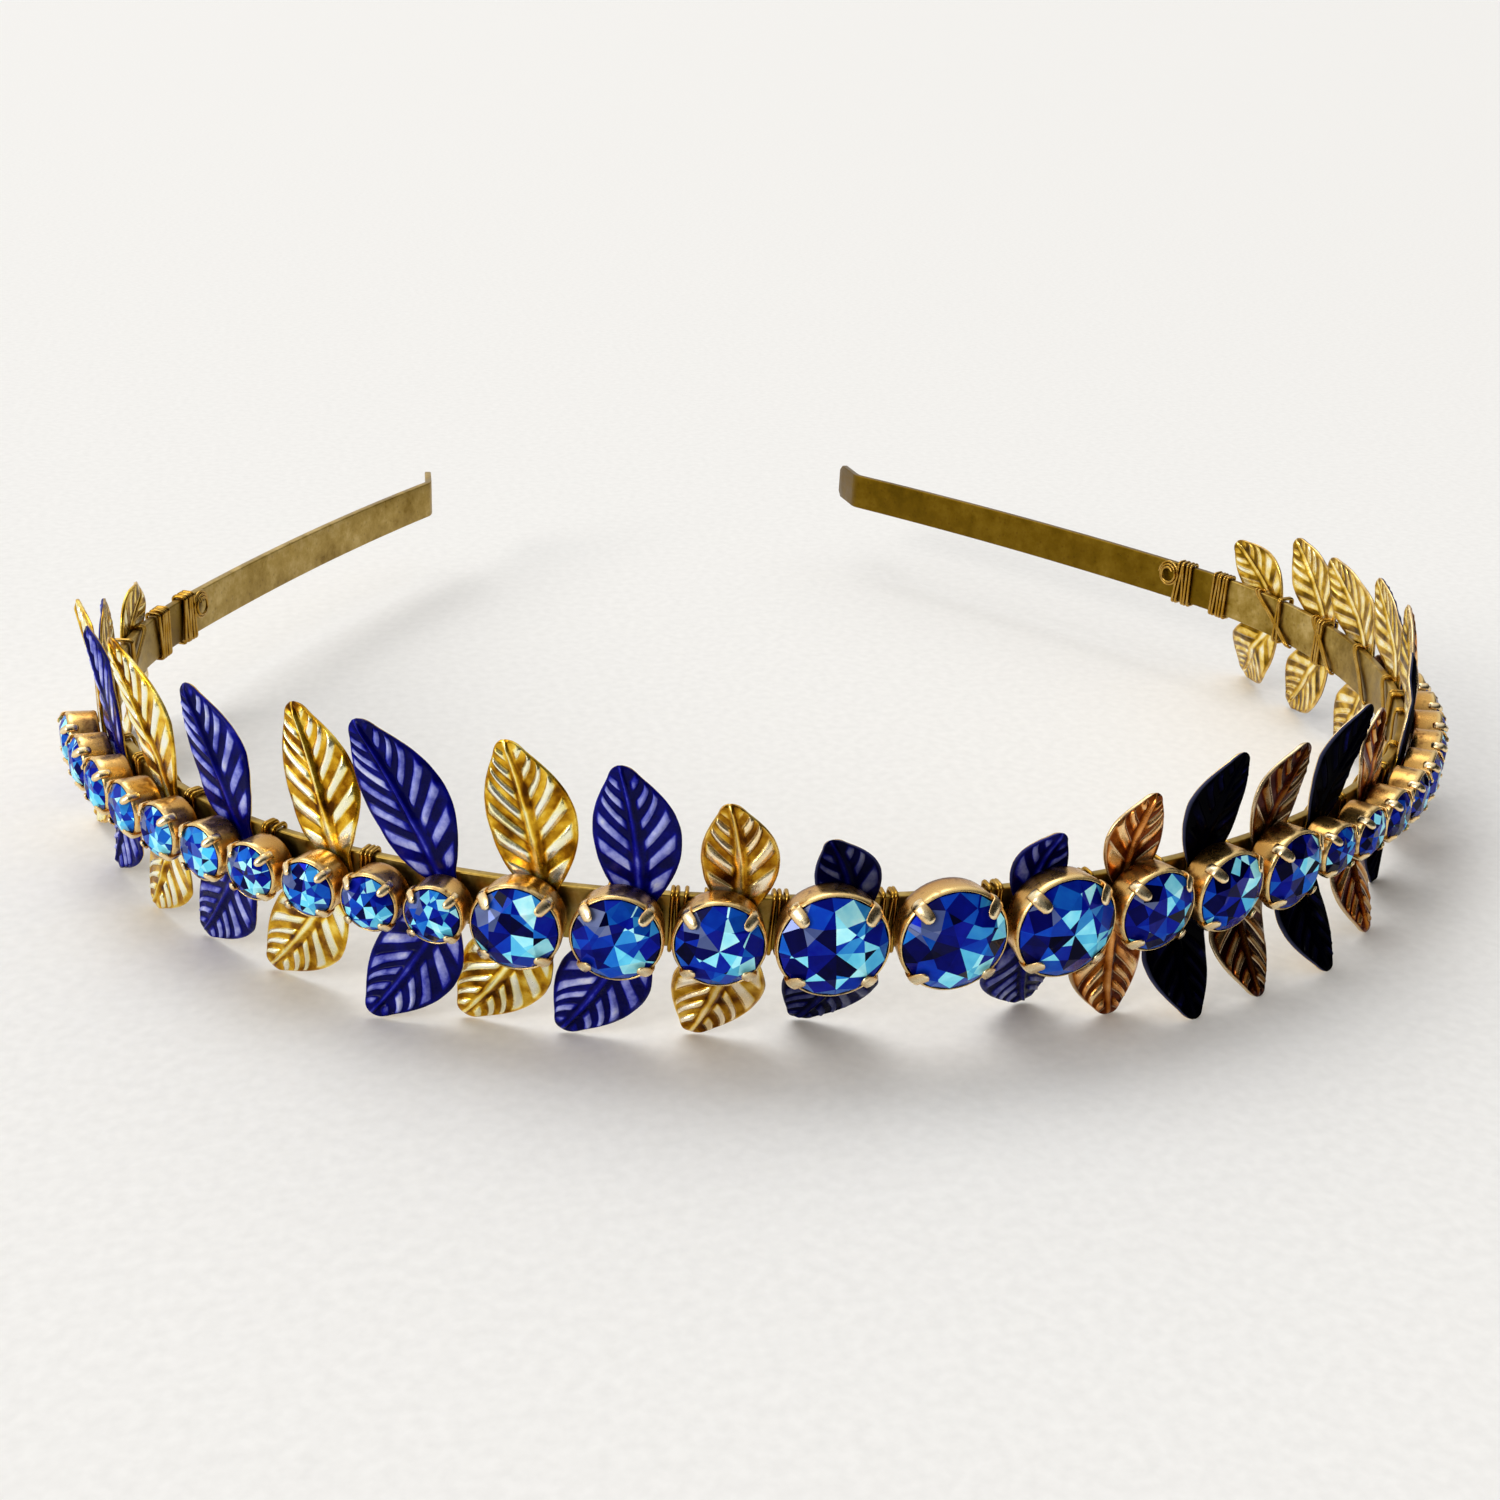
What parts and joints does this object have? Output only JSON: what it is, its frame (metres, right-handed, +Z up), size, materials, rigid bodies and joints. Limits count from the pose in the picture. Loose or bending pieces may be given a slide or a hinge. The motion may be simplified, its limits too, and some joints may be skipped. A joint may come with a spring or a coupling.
{
  "type": "diadem",
  "caption": "Leaf diadem: an open flat brass band for the head with a row of round blue stones in gold cups between pairs of blue and gold leaves, wired on.",
  "frame": {"origin": "the middle of the width and of the depth, at the height of the lowest leaf tips that it rests on", "axes": "+X across the head, to the right as seen from the front; +Y from the front leaves back to the end tabs; +Z up, from the lower leaves to the upper leaves"},
  "size_m": [0.1528, 0.1448, 0.0283],
  "materials": {
    "worn_brass": "worn, dull, with brown tarnish",
    "setting_gold": "gold-plated, satin, darker in the corners",
    "wire_gold": "gold-plated, polished",
    "leaf_gold": "gold-plated, polished, with embossed veins",
    "blue_enamel": "glossy dark blue enamel",
    "blue_glass": "polished, foil-backed"
  },
  "bodies": {
    "root": {"headband": "worn_brass", "settings_large": "setting_gold", "settings_medium": "setting_gold", "settings_small": "setting_gold", "binding_wire_left": "wire_gold", "binding_wire_right": "wire_gold", "stone_centre": "blue_glass", "stone_left_1": "blue_glass", "stone_left_2": "blue_glass", "stone_left_3": "blue_glass", "stone_left_4": "blue_glass", "stone_left_5": "blue_glass", "stone_left_6": "blue_glass", "stone_left_7": "blue_glass", "stone_left_8": "blue_glass", "stone_left_9": "blue_glass", "stone_left_10": "blue_glass", "stone_left_11": "blue_glass", "stone_left_12": "blue_glass", "stone_left_13": "blue_glass", "stone_left_14": "blue_glass", "stone_right_1": "blue_glass", "stone_right_2": "blue_glass", "stone_right_3": "blue_glass", "stone_right_4": "blue_glass", "stone_right_5": "blue_glass", "stone_right_6": "blue_glass", "stone_right_7": "blue_glass", "stone_right_8": "blue_glass", "stone_right_9": "blue_glass", "stone_right_10": "blue_glass", "stone_right_11": "blue_glass", "stone_right_12": "blue_glass", "stone_right_13": "blue_glass", "stone_right_14": "blue_glass", "leaf_pair_left_1": "blue_enamel", "leaf_pair_left_2": "leaf_gold", "leaf_pair_left_3": "blue_enamel", "leaf_pair_left_4": "leaf_gold", "leaf_pair_left_5": "blue_enamel", "leaf_pair_left_6": "leaf_gold", "leaf_pair_left_7": "blue_enamel", "leaf_pair_left_8": "leaf_gold", "leaf_pair_left_9": "blue_enamel", "leaf_pair_left_10": "leaf_gold", "leaf_pair_left_11": "blue_enamel", "leaf_pair_left_12": "leaf_gold", "leaf_pair_right_1": "blue_enamel", "leaf_pair_right_2": "leaf_gold", "leaf_pair_right_3": "blue_enamel", "leaf_pair_right_4": "leaf_gold", "leaf_pair_right_5": "blue_enamel", "leaf_pair_right_6": "leaf_gold", "leaf_pair_right_7": "blue_enamel", "leaf_pair_right_8": "leaf_gold", "leaf_pair_right_9": "blue_enamel", "leaf_pair_right_10": "leaf_gold", "leaf_pair_right_11": "blue_enamel", "leaf_pair_right_12": "leaf_gold"}
  },
  "joints": []
}
